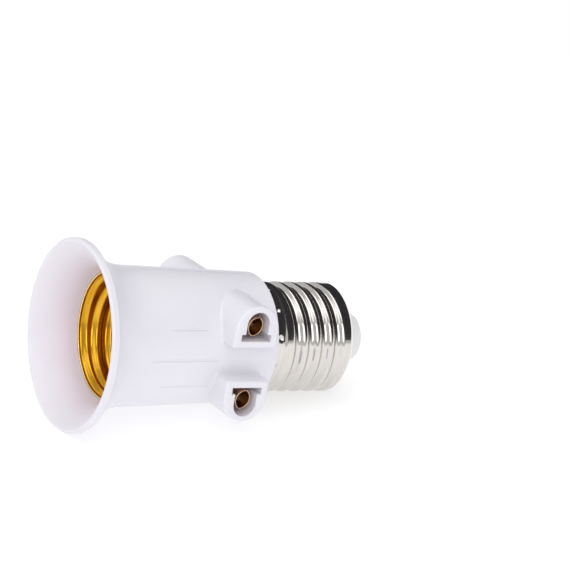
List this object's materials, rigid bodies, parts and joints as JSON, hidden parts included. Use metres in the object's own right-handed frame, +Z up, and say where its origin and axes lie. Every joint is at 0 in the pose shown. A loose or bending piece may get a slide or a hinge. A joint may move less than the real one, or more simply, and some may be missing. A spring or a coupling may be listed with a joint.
{
  "type": "plug-in lamp holder",
  "caption": "Plug-in lamp holder: a screw base carries a flared screw lamp socket, with keyhole outlets for round pins or flat blades on both sides.",
  "frame": {"origin": "centre of the bounding box at the surface the holder lies on", "axes": "+X from the mouth towards the screw base's tip (the lamp axis slopes down to it by 7.7 degrees, resting on the flare and the shell's shoulder), +Y and -Y out through the outlet bosses, +Z up"},
  "size_m": [0.0782, 0.044, 0.0438],
  "materials": {
    "white_plastic": "satin gloss moulded plastic",
    "socket_brass": "bright rolled sheet",
    "spring_brass": "sprung sheet",
    "rivet_brass": "clenched rivet",
    "contact_copper": "copper-coloured rolled sheet",
    "bare_wire": "bare copper-coloured wire",
    "base_nickel": "bright nickel plating",
    "insulator_white": "satin moulded plastic",
    "tip_grey": "tinned disc",
    "solder_grey": "solder"
  },
  "bodies": {
    "body": {"housing": "white_plastic", "lamp_screw_shell": "socket_brass", "leaf_rivet": "rivet_brass", "front_shell_rivet": "rivet_brass", "rear_shell_rivet": "rivet_brass", "line_strap": "spring_brass", "neutral_strap": "spring_brass", "line_contact_bar": "contact_copper", "neutral_contact_bar": "contact_copper", "line_bar_rivet": "rivet_brass", "neutral_bar_rivet": "rivet_brass", "line_wire": "bare_wire", "neutral_wire": "bare_wire", "base_screw_shell": "base_nickel", "base_insulator": "insulator_white", "base_tip_contact": "tip_grey", "line_wire_solder": "solder_grey", "neutral_wire_solder": "solder_grey", "shell_solder": "solder_grey"},
    "contact": {"contact_leaf": "spring_brass"}
  },
  "joints": [
    {"name": "contact_press", "type": "hinge", "parent": "body", "child": "contact", "pos_m": [-0.009, 0, 0.01379], "axis": [0, 1, 0], "range_deg": [0, 10], "stiffness_Nm_per_rad": 0.05}
  ]
}
